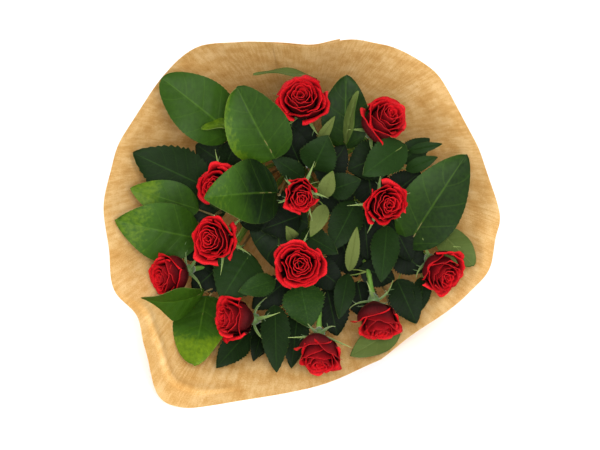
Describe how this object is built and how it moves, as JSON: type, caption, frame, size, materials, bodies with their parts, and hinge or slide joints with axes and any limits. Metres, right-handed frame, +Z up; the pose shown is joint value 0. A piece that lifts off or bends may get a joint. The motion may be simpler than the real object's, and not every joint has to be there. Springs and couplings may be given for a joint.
{
  "type": "bunch of roses",
  "caption": "Bunch of red roses with rose leaves and glossy salal leaves, tied with a rubber band and rolled in a cone of brown kraft paper, lying on its side.",
  "frame": {"origin": "middle of the bounding box, on the surface that the bunch lies on", "axes": "+Z up; the mouth of the paper faces -Y and the cut stems point to +Y; +X to the right when looking into the mouth"},
  "size_m": [0.3768, 0.5184, 0.264],
  "materials": {
    "petal": "matte",
    "sepal": "matte",
    "rose_stem": "satin",
    "salal_leaf": "satin",
    "rose_leaf": "matte",
    "kraft_paper": "matte",
    "rubber_band": "matte",
    "clear_tape": "gloss"
  },
  "bodies": {
    "root": {"rose_01_bloom": "petal", "rose_01_calyx": "sepal", "rose_01_stem": "rose_stem", "rose_02_bloom": "petal", "rose_02_calyx": "sepal", "rose_02_stem": "rose_stem", "rose_03_bloom": "petal", "rose_03_calyx": "sepal", "rose_03_stem": "rose_stem", "rose_04_bloom": "petal", "rose_04_calyx": "sepal", "rose_04_stem": "rose_stem", "rose_05_bloom": "petal", "rose_05_calyx": "sepal", "rose_05_stem": "rose_stem", "rose_06_bloom": "petal", "rose_06_calyx": "sepal", "rose_06_stem": "rose_stem", "rose_07_bloom": "petal", "rose_07_calyx": "sepal", "rose_07_stem": "rose_stem", "rose_08_bloom": "petal", "rose_08_calyx": "sepal", "rose_08_stem": "rose_stem", "rose_09_bloom": "petal", "rose_09_calyx": "sepal", "rose_09_stem": "rose_stem", "rose_10_bloom": "petal", "rose_10_calyx": "sepal", "rose_10_stem": "rose_stem", "rose_11_bloom": "petal", "rose_11_calyx": "sepal", "rose_11_stem": "rose_stem", "rose_12_bloom": "petal", "rose_12_calyx": "sepal", "rose_12_stem": "rose_stem", "salal_sprig_1": "salal_leaf", "salal_sprig_2": "salal_leaf", "salal_sprig_3": "salal_leaf", "salal_sprig_4": "salal_leaf", "salal_sprig_5": "salal_leaf", "salal_sprig_6": "salal_leaf", "salal_sprig_7": "salal_leaf", "rose_leaf_01": "rose_leaf", "rose_leaf_02": "rose_leaf", "rose_leaf_03": "rose_leaf", "rose_leaf_04": "rose_leaf", "rose_leaf_05": "rose_leaf", "rose_leaf_06": "rose_leaf", "rose_leaf_07": "rose_leaf", "rose_leaf_08": "rose_leaf", "rose_leaf_09": "rose_leaf", "rose_leaf_10": "rose_leaf", "rose_leaf_11": "rose_leaf", "rose_leaf_12": "rose_leaf", "rose_leaf_13": "rose_leaf", "rose_leaf_14": "rose_leaf", "paper_wrap": "kraft_paper", "stem_band": "rubber_band", "wrap_tape": "clear_tape"}
  },
  "joints": []
}
